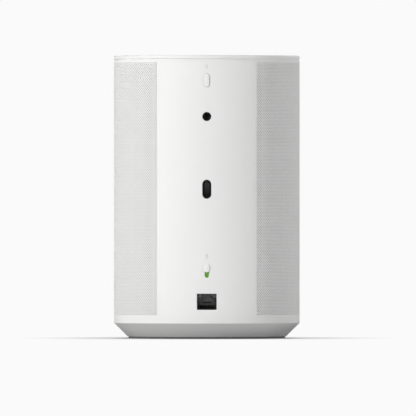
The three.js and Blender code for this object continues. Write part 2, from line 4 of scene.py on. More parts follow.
import bmesh
import bpy
import numpy as np
from mathutils.geometry import delaunay_2d_cdt
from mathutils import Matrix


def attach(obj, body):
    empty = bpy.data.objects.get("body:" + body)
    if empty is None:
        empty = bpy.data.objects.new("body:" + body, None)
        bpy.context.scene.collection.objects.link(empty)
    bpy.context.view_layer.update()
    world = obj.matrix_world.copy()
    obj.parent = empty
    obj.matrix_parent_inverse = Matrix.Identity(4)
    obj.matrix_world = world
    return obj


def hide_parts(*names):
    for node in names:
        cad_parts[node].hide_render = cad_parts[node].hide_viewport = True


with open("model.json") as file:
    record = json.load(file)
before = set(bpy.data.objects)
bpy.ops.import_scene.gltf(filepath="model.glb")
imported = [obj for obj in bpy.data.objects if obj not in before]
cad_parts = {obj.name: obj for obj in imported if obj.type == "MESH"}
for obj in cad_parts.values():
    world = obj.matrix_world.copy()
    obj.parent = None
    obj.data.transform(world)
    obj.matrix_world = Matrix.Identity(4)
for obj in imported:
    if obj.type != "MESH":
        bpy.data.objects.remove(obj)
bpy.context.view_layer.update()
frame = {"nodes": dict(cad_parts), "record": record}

# ---------- camera ----------
# A long lens, level and square to the port side, a little above the middle of the speaker.

MM = 0.001
CAMERA_DISTANCE = 9.7
CAMERA_ASIDE = -0.77
CAMERA_HEIGHT = 84.2
FRAME_WIDTH = 0.2692
camera_data = bpy.data.cameras.new("camera")
camera = bpy.data.objects.new("camera", camera_data)
bpy.context.scene.collection.objects.link(camera)
bpy.context.scene.camera = camera
camera_data.sensor_width = 36
camera_data.lens = camera_data.sensor_width * CAMERA_DISTANCE / FRAME_WIDTH
camera_data.clip_end = 40
camera.location = (CAMERA_ASIDE * MM, CAMERA_DISTANCE, CAMERA_HEIGHT * MM)
camera.rotation_euler = (math.radians(90), 0, math.radians(180))

# ---------- studio ----------
# A pale floor that runs into an even ground, three soft boxes to the left of the port side, a low one in
# front, one to the right and one behind. All stand well back, so that the light is even in height.

GROUND = (0.956, 0.956, 0.956, 1)
FLOOR_RADIUS = 7.0
LIT_HEIGHT = 0.09
BOX_DISTANCE = 6.0
BROAD_BOX = (3.3, 2.7)
scene = bpy.context.scene
scene.view_settings.view_transform = "Standard"
scene.view_settings.look = "None"


def feed(tree, node, inputs):
    """Gives each named input of a node its value, or links another node's output to it."""
    for label, value in dict(inputs).items():
        if isinstance(value, bpy.types.NodeSocket):
            tree.links.new(value, node.inputs[label])
        else:
            node.inputs[label].default_value = value


def placed(tree, kind, inputs=(), **settings):
    """Adds a shader node of a kind, makes its settings and feeds its inputs."""
    node = tree.nodes.new("ShaderNode" + kind)
    for label, value in settings.items():
        setattr(node, label, value)
    feed(tree, node, inputs)
    return node


world = bpy.data.worlds.new("studio")
scene.world = world
world.use_nodes = True
sky = world.node_tree
sky.nodes.clear()
sky_path = placed(sky, "LightPath")
sky_ground = placed(sky, "Background", {"Color": GROUND, "Strength": sky_path.outputs["Is Camera Ray"]})
placed(sky, "OutputWorld", {"Surface": sky_ground.outputs["Background"]})


def soft_box(name, azimuth, elevation, size, power):
    """An area light aimed at the middle of the speaker. Azimuth 0 is straight out of the port side."""
    light = bpy.data.lights.new(name, "AREA")
    light.shape = "RECTANGLE"
    light.size, light.size_y = size
    light.energy = power
    lamp = bpy.data.objects.new(name, light)
    lamp.visible_camera = False
    scene.collection.objects.link(lamp)
    around, up = math.radians(azimuth), math.radians(elevation)
    flat = BOX_DISTANCE * math.cos(up)
    lamp.location = (flat * math.sin(around), flat * math.cos(around), LIT_HEIGHT + BOX_DISTANCE * math.sin(up))
    direction = lamp.location.copy()
    direction.z -= LIT_HEIGHT
    lamp.rotation_euler = direction.to_track_quat("Z", "Y").to_euler()


soft_box("key_box", 45, 42, (1.6, 1.4), 113)
soft_box("broad_box", 50, 15, BROAD_BOX, 169)
soft_box("side_box", 95, 28, BROAD_BOX, 75)
soft_box("front_box", 4, 5, (3.0, 1.6), 41)
soft_box("fill_box", -60, 15, BROAD_BOX, 114)
soft_box("rear_box", -135, 28, BROAD_BOX, 122)

floor_mesh = bpy.data.meshes.new("floor")
floor_bm = bmesh.new()
bmesh.ops.create_circle(floor_bm, cap_ends=True, segments=96, radius=FLOOR_RADIUS)
floor_bm.to_mesh(floor_mesh)
floor_bm.free()
floor = bpy.data.objects.new("floor", floor_mesh)
scene.collection.objects.link(floor)

floor_finish = bpy.data.materials.new("floor_paper")
floor_finish.use_nodes = True
paper = floor_finish.node_tree
paper.nodes.clear()
# Painted contact shadow: the floor that the camera sees glows in the ground's colour, darkened by ambient occlusion
# near the speaker.
paper_painted_contact_shadow = placed(paper, "AmbientOcclusion", {"Distance": 0.07, "Color": GROUND}, samples=8)
paper_seen = placed(paper, "Emission", {"Color": paper_painted_contact_shadow.outputs["Color"]})
# Painted shade: the floor that only light sees is dark round the speaker's foot and pale further out, so that less
# light bounces up onto the base.
paper_place = placed(paper, "TexCoord")
paper_reach = placed(paper, "VectorMath", {0: paper_place.outputs["Object"]}, operation="LENGTH")
paper_painted_shade = placed(paper, "MapRange", {
    "Value": paper_reach.outputs["Value"], "From Min": 0.045, "From Max": 0.098, "To Max": 0.9})
paper_lit = placed(paper, "BsdfDiffuse", {"Color": paper_painted_shade.outputs["Result"]})
paper_path = placed(paper, "LightPath")
paper_top = placed(paper, "MixShader", {
    "Fac": paper_path.outputs["Is Camera Ray"], 1: paper_lit.outputs["BSDF"], 2: paper_seen.outputs["Emission"]})
paper_side = placed(paper, "NewGeometry")
paper_clear = placed(paper, "BsdfTransparent")
paper_both = placed(paper, "MixShader", {
    "Fac": paper_side.outputs["Backfacing"], 1: paper_top.outputs["Shader"], 2: paper_clear.outputs["BSDF"]})
placed(paper, "OutputMaterial", {"Surface": paper_both.outputs["Shader"]})
floor.data.materials.append(floor_finish)

# ---------- perforated shell ----------
# The grille shell is one moulded white shell that wraps the front and both sides, with a closed ring
# under the back panel. Its round holes stand in a staggered grid, and it slides down over the chassis.

HALF_WIDTH = 60.0
ARC_CENTRE = 5.25
ROUND_LENGTH = math.pi * HALF_WIDTH
STRAIGHT = 2 * ARC_CENTRE
GIRTH = 2 * ROUND_LENGTH + 2 * STRAIGHT
SHELL_WALL = 1.6
SHELL_BOTTOM = 10.0
SHELL_TOP = 179.2
SEAM_REACH = 30.73
SEAM_GAP = 0.012
PANEL_BOTTOM = 13.2
HALF_PITCH = 0.9
FIRST_COLUMN = 34.29
FIRST_ROW = 15.6
COLUMNS = 367
ROWS = 181
HOLE_RADIUS = 0.40
FIELD_WALL = 0.8
SECTION_COLUMNS = 46


def girth_frame(along):
    """The centre and the outward direction at a distance along the girth from the middle of the back."""
    along = np.mod(np.asarray(along, float), GIRTH)
    quarter = ROUND_LENGTH / 2
    on_right = np.clip(along - quarter, 0, STRAIGHT)
    on_left = np.clip(along - quarter - STRAIGHT - ROUND_LENGTH, 0, STRAIGHT)
    angle = (along - on_right - on_left) / HALF_WIDTH
    centre_y = ARC_CENTRE - on_right + on_left
    return centre_y, np.sin(angle), np.cos(angle)


def mesh_from_arrays(name, points, polygons):
    """A mesh object in millimetres from an array of points and arrays of polygons of one size each."""
    mesh = bpy.data.meshes.new(name)
    mesh.vertices.add(len(points))
    mesh.vertices.foreach_set("co", (points * MM).astype(np.float32).ravel())
    corners = np.concatenate([group.ravel() for group in polygons])
    sizes = np.concatenate([np.full(len(group), group.shape[1]) for group in polygons])
    starts = np.concatenate([[0], np.cumsum(sizes)[:-1]])
    mesh.loops.add(len(corners))
    mesh.loops.foreach_set("vertex_index", corners.astype(np.int32))
    mesh.polygons.add(len(sizes))
    mesh.polygons.foreach_set("loop_start", starts.astype(np.int32))
    mesh.update(calc_edges=True)
    piece = bpy.data.objects.new(name, mesh)
    scene.collection.objects.link(piece)
    return piece


def wrapped_wall(name, flat, triangles, quads, wall=SHELL_WALL, radius=HALF_WIDTH):
    """A wall of real thickness wrapped on the girth, from a flat layout of (along, height) points.
    Every open edge of the layout, a hole's rim included, gets a wall through the thickness."""
    used, order = np.unique(np.concatenate([triangles.ravel(), quads.ravel()]), return_inverse=True)
    flat = flat[used]
    triangles = order[:triangles.size].reshape(-1, 3)
    quads = order[triangles.size:].reshape(-1, 4)
    centre_y, out_x, out_y = girth_frame(flat[:, 0])

    def skin(reach):
        return np.column_stack([out_x * reach, centre_y + out_y * reach, flat[:, 1]])

    count = len(flat)
    points = np.vstack([skin(radius), skin(radius - wall)])
    start = np.concatenate([triangles.ravel(), quads.ravel()])
    end = np.concatenate([np.roll(triangles, -1, 1).ravel(), np.roll(quads, -1, 1).ravel()])
    there = start * count + end
    back = end * count + start
    open_edge = ~np.isin(there, back)
    start, end = start[open_edge], end[open_edge]
    rims = np.column_stack([end, start, start + count, end + count])
    polygons = [triangles, triangles[:, ::-1] + count, quads, quads[:, ::-1] + count, rims]
    piece = mesh_from_arrays(name, points, [group for group in polygons if len(group)])
    piece.data.set_sharp_from_angle(angle=math.radians(32))
    return piece


def hole_field(first, last):
    """The flat layout of the columns first to last: a square of wall with a round hole at each place."""
    columns = np.arange(-1, COLUMNS + 1)
    rows = np.arange(-1, ROWS + 1)
    grid_along, grid_height = np.meshgrid(
        FIRST_COLUMN + HALF_PITCH * columns, FIRST_ROW + HALF_PITCH * rows, indexing="ij")
    grid = np.column_stack([grid_along.ravel(), grid_height.ravel()])

    def corner(column, row):
        return (column + 1) * len(rows) + (row + 1)

    column, row = np.meshgrid(np.arange(first, last + 1), np.arange(ROWS), indexing="ij")
    at_hole = (column + row) % 2 == 0
    column, row = column[at_hole], row[at_hole]
    holes = len(column)
    turns = np.arange(8) * math.pi / 4
    rim_along = (FIRST_COLUMN + HALF_PITCH * column)[:, None] + HOLE_RADIUS * np.cos(turns)
    rim_height = (FIRST_ROW + HALF_PITCH * row)[:, None] + HOLE_RADIUS * np.sin(turns)
    rim_points = np.column_stack([rim_along.ravel(), rim_height.ravel()])
    rim = len(grid) + np.arange(holes)[:, None] * 8 + np.arange(8)
    corners = np.column_stack([
        corner(column + 1, row), corner(column, row + 1), corner(column - 1, row), corner(column, row - 1)])
    faces = []
    for quarter in range(4):
        here, there = corners[:, quarter], corners[:, (quarter + 1) % 4]
        side = rim[:, 2 * quarter]
        middle = rim[:, 2 * quarter + 1]
        end = rim[:, (2 * quarter + 2) % 8]
        faces += [np.column_stack([here, there, middle]), np.column_stack([here, middle, side]),
                  np.column_stack([there, end, middle])]

    def edge_triangle(*places):
        faces.append(np.column_stack([corner(*place) for place in places]))

    odd = np.arange(first, last + 1)
    odd = odd[odd % 2 == 1]
    edge_triangle((odd - 1, -1), (odd + 1, -1), (odd, 0))
    edge_triangle((odd + 1, ROWS), (odd - 1, ROWS), (odd, ROWS - 1))
    row = np.arange(1, ROWS, 2)
    if first == 0:
        edge_triangle((-1, row + 1), (-1, row - 1), (0, row))
        edge_triangle((-1, -1), (0, -1), (-1, 0))
        edge_triangle((-1, ROWS), (-1, ROWS - 1), (0, ROWS))
    if last == COLUMNS - 1:
        edge_triangle((COLUMNS, row - 1), (COLUMNS, row + 1), (COLUMNS - 1, row))
        edge_triangle((COLUMNS, -1), (COLUMNS, 0), (COLUMNS - 1, -1))
        edge_triangle((COLUMNS, ROWS), (COLUMNS - 1, ROWS), (COLUMNS, ROWS - 1))
    return np.vstack([grid, rim_points]), np.vstack(faces)


def effect_group(name, inputs):
    """A node group for a surface effect, with named inputs. Gives the group, the inputs' sockets by name and
    the place on the piece."""
    group = bpy.data.node_groups.new(name, "ShaderNodeTree")
    for side, labels in (("INPUT", inputs), ("OUTPUT", ("Color", "Roughness", "Height"))):
        for label in labels:
            kind = "NodeSocketColor" if label.endswith("Color") else "NodeSocketFloat"
            group.interface.new_socket(label, in_out=side, socket_type=kind)
    given = group.nodes.new("NodeGroupInput")
    return group, given.outputs, placed(group, "TexCoord").outputs["Object"]


def completed(group, color, roughness, height):
    """Links an effect's results to its group's outputs."""
    feed(group, group.nodes.new("NodeGroupOutput"), {"Color": color, "Roughness": roughness, "Height": height})
    return group


def maths(tree, operation, *values):
    """One sum on numbers or sockets."""
    return placed(tree, "Math", enumerate(values), operation=operation).outputs[0]


def moulded_skin_group():
    """Spark-eroded mould texture: a fine grain, a slow drift of tone and patches of gloss."""
    group, given, place = effect_group(
        "moulded_skin", ("Color", "Tone Spread", "Roughness", "Gloss Spread", "Grain Scale"))
    drift = placed(group, "TexNoise", {"Vector": place, "Scale": 35, "Detail": 3})
    grain = placed(group, "TexNoise", {
        "Vector": place, "Scale": given["Grain Scale"], "Detail": 4, "Roughness": 0.65})
    pits = placed(group, "TexVoronoi", {"Vector": place, "Scale": given["Grain Scale"]}, feature="SMOOTH_F1")
    centred = maths(group, "SUBTRACT", drift.outputs["Fac"], 0.5)
    tone = maths(group, "MULTIPLY_ADD", centred, given["Tone Spread"], 1.0)
    toned = placed(group, "VectorMath", {0: given["Color"], "Scale": tone}, operation="SCALE")
    speck = maths(group, "SUBTRACT", grain.outputs["Fac"], 0.5)
    gloss = maths(group, "MULTIPLY_ADD", speck, given["Gloss Spread"], given["Roughness"])
    relief = maths(group, "MULTIPLY_ADD", pits.outputs["Distance"], 0.6, grain.outputs["Fac"])
    return completed(group, toned.outputs["Vector"], gloss, relief)


moulded_skin = moulded_skin_group()


def finished(name, effect, relief, metallic=0.0, **settings):
    """A material whose colour, roughness and relief come from an effect group with its own settings."""
    material = bpy.data.materials.new(name)
    material.use_nodes = True
    tree = material.node_tree
    surface = placed(tree, "Group", node_tree=effect)
    for label, value in settings.items():
        value = (*value, 1) if isinstance(value, tuple) else value
        feed(tree, surface, {label.replace("_", " ").title(): value})
    bump = placed(tree, "Bump", {"Distance": relief * MM, "Height": surface.outputs["Height"]})
    feed(tree, tree.nodes["Principled BSDF"], {
        "Metallic": metallic, "Normal": bump.outputs["Normal"],
        "Base Color": surface.outputs["Color"], "Roughness": surface.outputs["Roughness"]})
    return material


def moulding(name, color, roughness, grain, relief=0.01, spread=0.3, gloss=0.2, metallic=0.0):
    """A finish with a moulded or cast skin."""
    return finished(name, moulded_skin, relief, metallic, color=color, tone_spread=spread,
                    roughness=roughness, gloss_spread=gloss, grain_scale=grain)


white_plastic = moulding("white_moulding", (0.80, 0.80, 0.795), 0.55, 4200.0, relief=0.012, spread=0.012, gloss=0.15)


def fit(piece, material, slot, *stands_for, body="cabinet"):
    """Gives a finished piece its material, ties it to the CAD body that it moves with and names the CAD
    pieces that it stands for."""
    piece.data.materials.append(material)
    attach(piece, body)
    if stands_for:
        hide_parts(*stands_for)
    return piece


no_quads = np.zeros((0, 4), int)
no_triangles = np.zeros((0, 3), int)
for number, first in enumerate(range(0, COLUMNS - 1, SECTION_COLUMNS)):
    last = min(first + SECTION_COLUMNS - 1, COLUMNS - 1)
    layout, triangles = hole_field(first, last)
    section = wrapped_wall(f"grille_field_{number + 1}", layout, triangles, no_quads, wall=FIELD_WALL)
    fit(section, white_plastic, "shell_plastic", *(["grille_shell"] if number == 0 else []))


def shell_band():
    """The plain part of the shell: ring under the panel, strips beside it and the narrow top edge."""
    edge = SEAM_REACH + SEAM_GAP
    field_start = FIRST_COLUMN - HALF_PITCH
    field_end = FIRST_COLUMN + HALF_PITCH * COLUMNS
    field = FIRST_COLUMN + HALF_PITCH * np.arange(0, COLUMNS, 2)
    behind = np.linspace(edge, field_start, 4)
    under = np.linspace(-edge, edge, 69)[1:-1]
    along = np.concatenate([behind, field, [field_end], GIRTH - behind[-2::-1], GIRTH + under])
    field_low = FIRST_ROW - HALF_PITCH
    field_high = FIRST_ROW + HALF_PITCH * ROWS
    heights = np.array([SHELL_BOTTOM, PANEL_BOTTOM, field_low, field_high, SHELL_TOP])
    columns = len(along)
    grid = np.column_stack([np.repeat(along, len(heights)), np.tile(heights, columns)])
    quads = []
    for column in range(columns):
        following = (column + 1) % columns
        middle = along[column] + 0.01
        over_panel = middle > GIRTH - edge
        over_field = field_start < middle < field_end
        for level in range(len(heights) - 1):
            if (over_panel and level > 0) or (over_field and level == 2):
                continue
            base, beyond = column * len(heights) + level, following * len(heights) + level
            quads.append([base, beyond, beyond + 1, base + 1])
    return wrapped_wall("grille_band", grid, no_triangles, np.array(quads))


fit(shell_band(), white_plastic, "shell_plastic")


# ---------- back panel ----------
# The plain back cover is one curved white moulding that clips in between the shell's edges. It carries
# the openings for the controls and sockets, each with a small rounded edge, and a boss behind the insert.

PANEL_WALL = 2.2
PANEL_TOP = SHELL_TOP
BUTTON_Z = 166.4
BUTTON_SIZE = (3.4, 8.8)
INSERT_Z = 143.0
INSERT_HOLE = 5.76
DATA_Z = 96.25
DATA_MOUTH = (5.8, 12.2)
SWITCH_Z = 43.8
SWITCH_SLOT = (2.8, 8.8)
JACK_Z = 23.9
JACK_MOUTH = (12.9, 10.35)
JACK_CORNER = 0.35


def rounded_outline(width, height, corner, steps=8):
    """Points round a rectangle with round corners, anticlockwise from its right side, about (0, 0)."""
    corner = min(corner, min(width, height) / 2 - 0.002)
    quarters = []
    for quarter, (side, up) in enumerate(((1, 1), (-1, 1), (-1, -1), (1, -1))):
        angle = np.linspace(0, math.pi / 2, steps + 1) + quarter * math.pi / 2
        quarters.append(np.column_stack([
            side * (width / 2 - corner) + corner * np.cos(angle),
            up * (height / 2 - corner) + corner * np.sin(angle)]))
    return np.vstack(quarters)


def inside_outline(points, outline):
    """True for each point that lies inside a closed outline."""
    start, end = outline, np.roll(outline, -1, axis=0)
    inside = np.zeros(len(points), bool)
    for (x0, y0), (x1, y1) in zip(start, end):
        crosses = (y0 > points[:, 1]) != (y1 > points[:, 1])
        if crosses.any():
            reach = x0 + (points[:, 1] - y0) / ((y1 - y0) or 1e-9) * (x1 - x0)
            inside ^= crosses & (points[:, 0] < reach)
    return inside


def pierced_sheet(low, high, step, outlines):
    """A flat triangle layout of a rectangle with holes: an even grid that gives way to each outline."""
    across = np.linspace(low[0], high[0], int((high[0] - low[0]) / step) + 1)
    upward = np.linspace(low[1], high[1], int((high[1] - low[1]) / (2 * step)) + 1)
    grid = np.array([(a, u) for a in across for u in upward])
    for outline in outlines:
        wider = outline + np.sign(outline - outline.mean(axis=0)) * step * 0.5
        grid = grid[~inside_outline(grid, wider)]
    places = [tuple(point) for point in grid]
    edges = []
    for outline in outlines:
        first = len(places)
        places += [tuple(point) for point in outline]
        count = len(outline)
        edges += [(first + i, first + (i + 1) % count) for i in range(count)]
    points, _, faces, _, _, _ = delaunay_2d_cdt(places, edges, [], 0, 1e-5)
    points = np.array([tuple(point) for point in points])
    faces = np.array([list(face) for face in faces])
    centres = points[faces].mean(axis=1)
    keep = np.ones(len(faces), bool)
    for outline in outlines:
        keep &= ~inside_outline(centres, outline)
    return points, faces[keep]


def keep_modifiers(piece):
    """Turns what a piece's modifiers make into its own mesh."""
    bpy.context.view_layer.update()
    shaped = piece.evaluated_get(bpy.context.evaluated_depsgraph_get())
    made = bpy.data.meshes.new_from_object(shaped)
    piece.modifiers.clear()
    old = piece.data
    piece.data = made
    bpy.data.meshes.remove(old)
    made.name = piece.name
    return piece


def softened(piece, width=0.0, steps=2, angle=32, only=None):
    """Rounds a piece's sharp edges by a width in millimetres, if there is one, and smooths its shading.
    A rule for where an edge's ends are, in millimetres, can keep the rest of its edges crisp."""
    if width:
        edge = piece.modifiers.new("round", "BEVEL")
        edge.width = width * MM
        edge.segments = steps
        edge.limit_method = "ANGLE"
        edge.angle_limit = math.radians(angle)
        if only:
            mesh = bmesh.new()
            mesh.from_mesh(piece.data)
            weight = mesh.edges.layers.float.new("bevel_weight_edge")
            for line in mesh.edges:
                sharp = len(line.link_faces) == 2 and line.calc_face_angle() > math.radians(angle)
                line[weight] = float(sharp and all(only(*(v.co / MM)) for v in line.verts))
            mesh.to_mesh(piece.data)
            mesh.free()
            edge.limit_method = "WEIGHT"
        keep_modifiers(piece)
    piece.data.shade_smooth()
    piece.data.set_sharp_from_angle(angle=math.radians(angle))
    if width:
        level = piece.modifiers.new("level", "WEIGHTED_NORMAL")
        level.keep_sharp = True
        level.weight = 90
        keep_modifiers(piece)
    return piece


def opening(size, height, corner=10.0, steps=8):
    """The outline of an opening in the panel's flat layout."""
    return rounded_outline(*size, corner, steps) + np.array([0, height])


panel_edge = SEAM_REACH - SEAM_GAP
button_hole = (BUTTON_SIZE[0] + 0.12, BUTTON_SIZE[1] + 0.12)
panel_holes = [
    opening(button_hole, BUTTON_Z),
    opening((INSERT_HOLE, INSERT_HOLE), INSERT_Z, steps=10),
    opening(DATA_MOUTH, DATA_Z, steps=10),
    opening(SWITCH_SLOT, SWITCH_Z),
    opening(JACK_MOUTH, JACK_Z, JACK_CORNER, 3),
]
panel_points, panel_faces = pierced_sheet(
    (-panel_edge, PANEL_BOTTOM + 2 * SEAM_GAP), (panel_edge, PANEL_TOP), 0.9, panel_holes)
back_panel = wrapped_wall("back_panel_skin", panel_points, panel_faces, no_quads, PANEL_WALL)
rim_places = np.vstack(panel_holes)


def on_hole_rim(x, y, z):
    """True on the outer rim of one of the panel's openings."""
    around = HALF_WIDTH * math.atan2(x, y - ARC_CENTRE)
    near = np.abs(rim_places - (around, z)).sum(axis=1).min() < 0.01
    return near and math.hypot(x, y - ARC_CENTRE) > HALF_WIDTH - 0.1


fit(softened(back_panel, 0.14, only=on_hole_rim), white_plastic, "shell_plastic", "back_panel")


def facing_outward(piece):
    """Turns every face of a closed skin to look outward."""
    shape = bmesh.new()
    shape.from_mesh(piece.data)
    bmesh.ops.recalc_face_normals(shape, faces=shape.faces)
    shape.to_mesh(piece.data)
    shape.free()
    return piece


def skin_through(name, rings, loop=False):
    """A closed skin through rings of equal length: joined end to end, or closed by a flat face at each end."""
    rings = [np.asarray(ring, float) for ring in rings]
    count = len(rings[0])
    points = np.vstack(rings)
    here = np.arange(count)
    following = (here + 1) % count
    quads = []
    for level in range(len(rings) if loop else len(rings) - 1):
        low, high = level * count, ((level + 1) % len(rings)) * count
        quads.append(np.column_stack([low + here, low + following, high + following, high + here]))
    groups = [np.vstack(quads)]
    if not loop:
        groups += [here[None, ::-1], (len(rings) - 1) * count + here[None, :]]
    return facing_outward(mesh_from_arrays(name, points, groups))


def facing_ring(y, width, height, x=0.0, z=0.0, corner=10.0, steps=8):
    """A rounded outline that stands upright at a depth y and faces the port side."""
    flat = rounded_outline(width, height, corner, steps)
    return np.column_stack([x - flat[:, 0], np.full(len(flat), y), z + flat[:, 1]])


def facing_stack(name, levels, x=0.0, z=0.0, corner=10.0, steps=8, loop=False):
    """A piece that faces the port side, from its (depth, width, height) levels."""
    return skin_through(name, [facing_ring(*level, x, z, corner, steps) for level in levels], loop)


def facing_rod(name, levels, z, loop=False):
    """A round piece that faces the port side, from its (radius, depth) levels."""
    return facing_stack(name, [(y, 2 * radius, 2 * radius) for radius, y in levels], z=z, steps=10, loop=loop)


insert_boss = facing_rod("insert_boss", [(5.6, 53.0), (5.6, 63.1), (3.9, 63.1), (3.9, 53.0)], z=INSERT_Z, loop=True)
fit(softened(insert_boss, 0.2), white_plastic, "shell_plastic")

# ---------- top cap ----------
# The cap is a separate white moulding whose neck drops inside the shell and leaves a narrow groove.
# Its top carries a shallow touch groove, four microphone holes and a status light.

CAP_TOP = 182.5
CAP_BOTTOM = 180.3
CAP_NECK = 59.5
CAP_EDGE = 0.6
TOUCH_GROOVE = (44.0, 9.0)
MIC_HOLES = [(-30, -26), (30, -26), (-30, 26), (30, 26)]
LIGHT_Y = -34.0


def girth_ring(radius, height):
    """The cabinet's plan outline at a height, moved in so that its round sides have this radius."""
    angle = np.linspace(0, math.pi, 97)
    back = np.column_stack([radius * np.cos(angle), ARC_CENTRE + radius * np.sin(angle)])
    outline = np.vstack([back, -back])
    return np.column_stack([outline, np.full(len(outline), height)])


def lying_ring(height, width, depth, x=0.0, y=0.0, corner=50.0, steps=10):
    """A rounded outline that lies flat at a height."""
    flat = rounded_outline(width, depth, corner, steps)
    return np.column_stack([x + flat[:, 0], y + flat[:, 1], np.full(len(flat), height)])


def upright_rod(name, x, y, steps, levels, loop=False):
    """A round piece that stands at a point, from its (radius, height) levels."""
    return skin_through(name, [
        lying_ring(height, 2 * radius, 2 * radius, x, y, steps=steps) for radius, height in levels], loop)


def carved(piece, *cutters):
    """Cuts each cutter's shape out of a piece and throws the cutter away."""
    for cutter in cutters:
        hole = piece.modifiers.new("hole", "BOOLEAN")
        hole.operation = "DIFFERENCE"
        hole.solver = "EXACT"
        hole.object = cutter
    keep_modifiers(piece)
    for cutter in cutters:
        bpy.data.objects.remove(cutter, do_unlink=True)
    return piece


cap_edge_turn = np.radians(np.linspace(0, 90, 6))
cap_profile = [
    (55.4, CAP_BOTTOM), (55.4, 175.0), (57.2, 175.0), (57.2, SHELL_TOP + 0.05),
    (CAP_NECK, SHELL_TOP + 0.05), (CAP_NECK, CAP_BOTTOM), (HALF_WIDTH - 0.15, CAP_BOTTOM),
    (HALF_WIDTH, CAP_BOTTOM + 0.15),
    *((HALF_WIDTH - CAP_EDGE + CAP_EDGE * math.cos(t), CAP_TOP - CAP_EDGE + CAP_EDGE * math.sin(t))
      for t in cap_edge_turn),
]
top_cap = skin_through("top_cap_moulding", [girth_ring(radius, height) for radius, height in cap_profile])
groove_length, groove_width = TOUCH_GROOVE
groove_steps = [(0.5, 0.6), (0.0, 0.0), (-0.35, -0.25), (-0.62, -0.8), (-0.76, -1.5), (-0.8, -2.4)]
groove_cutter = skin_through("cutter", [
    lying_ring(CAP_TOP + rise, groove_length + inset, groove_width + inset) for rise, inset in groove_steps])
port_cutters = [upright_rod("cutter", x, y, 4, [(0.7, CAP_BOTTOM - 1), (0.7, CAP_TOP + 1)]) for x, y in MIC_HOLES]
light_cutter = upright_rod("cutter", 0, LIGHT_Y, 5, [(1.0, CAP_BOTTOM - 1), (1.0, CAP_TOP + 1)])
carved(top_cap, groove_cutter, *port_cutters, light_cutter)
fit(softened(top_cap, angle=30), white_plastic, "shell_plastic", "top_cap")

light_levels = [(0.75, 176.9), (0.75, 181.9), (0.95, 182.0), (0.95, 182.38), (0.85, 182.45), (0.5, 182.48)]
status_light = upright_rod("status_light", 0, LIGHT_Y, 5, light_levels)


def clear_moulding(name, color, roughness):
    """Frosted see-through plastic: a little light passes, and its gloss changes in fine flecks."""
    material = moulding(name, color, roughness, 3000.0, relief=0.003, spread=0.05, gloss=0.1)
    material.node_tree.nodes["Principled BSDF"].inputs["Transmission Weight"].default_value = 0.35
    return material


frosted_clear = clear_moulding("frosted_clear", (0.82, 0.85, 0.87), 0.25)
fit(softened(status_light), frosted_clear, "clear_plastic", "status_light_guide")

# ---------- base shell ----------
# The base is a white moulded tray with a steep chamfer all round. Its inner lip enters the shell, and
# four screws in round pockets run up through towers to hold it to the enclosure.

FOOT_TOP = 1.2
CHAMFER_BOTTOM = 51.2
CHAMFER_TOP = 9.98
SCREW_PLACES = [(-20, -22), (20, -22), (-20, 18), (20, 18)]

base_profile = [
    (48.9, FOOT_TOP + 2), (57.7, CHAMFER_TOP + 0.9), (56.2, CHAMFER_TOP + 1.2), (56.2, 13.2), (57.9, 13.2),
    (57.9, CHAMFER_TOP), (HALF_WIDTH, CHAMFER_TOP), (HALF_WIDTH, CHAMFER_TOP - 0.06),
    (CHAMFER_BOTTOM + 0.1, FOOT_TOP + 0.1), (CHAMFER_BOTTOM, FOOT_TOP),
]
base_shell = skin_through("base_moulding", [girth_ring(radius, height) for radius, height in base_profile])


pockets = [
    upright_rod("cutter", x, y, 6, [(3.6, 0.5), (3.4, 1.4), (3.3, 3.1), (1.8, 3.1), (1.8, 4.0)])
    for x, y in SCREW_PLACES]
carved(base_shell, *pockets)
fit(softened(base_shell, angle=30), white_plastic, "shell_plastic", "base_shell")
for number, (x, y) in enumerate(SCREW_PLACES):
    tower = upright_rod(
        f"base_tower_{number + 1}", x, y, 6, [(4.6, 2.4), (4.2, 13.2), (1.8, 13.2), (1.8, 2.4)], loop=True)
    fit(softened(tower, 0.1), white_plastic, "shell_plastic")

# ---------- rubber foot ----------
# The speaker stands on one soft grey rubber ring, glued into a shallow step under the base.
# Two fine grooves run round its tread.

FOOT_OUTER = 50.6
FOOT_INNER = 36.0
foot_profile = [
    (FOOT_INNER, FOOT_TOP), (FOOT_OUTER, FOOT_TOP), (FOOT_OUTER, 0.35),
    (FOOT_OUTER - 0.1, 0.1), (FOOT_OUTER - 0.35, 0.0),
    (46.2, 0.0), (45.9, 0.3), (45.3, 0.3), (45.0, 0.0),
    (41.6, 0.0), (41.3, 0.3), (40.7, 0.3), (40.4, 0.0),
    (FOOT_INNER + 0.35, 0.0), (FOOT_INNER + 0.1, 0.1), (FOOT_INNER, 0.35),
]
rubber_foot = skin_through(
    "rubber_foot_ring", [girth_ring(radius, height) for radius, height in foot_profile], loop=True)
foot_rubber = moulding("grey_rubber", (0.17, 0.17, 0.172), 0.8, 2600.0, relief=0.03, spread=0.25)
fit(softened(rubber_foot, angle=50), foot_rubber, "foot_rubber", "rubber_foot")

# ---------- base screws ----------
# Four self-tapping screws of blackened steel, with a cross recess in each round head, come up through the
# pockets of the base and bite into the enclosure.

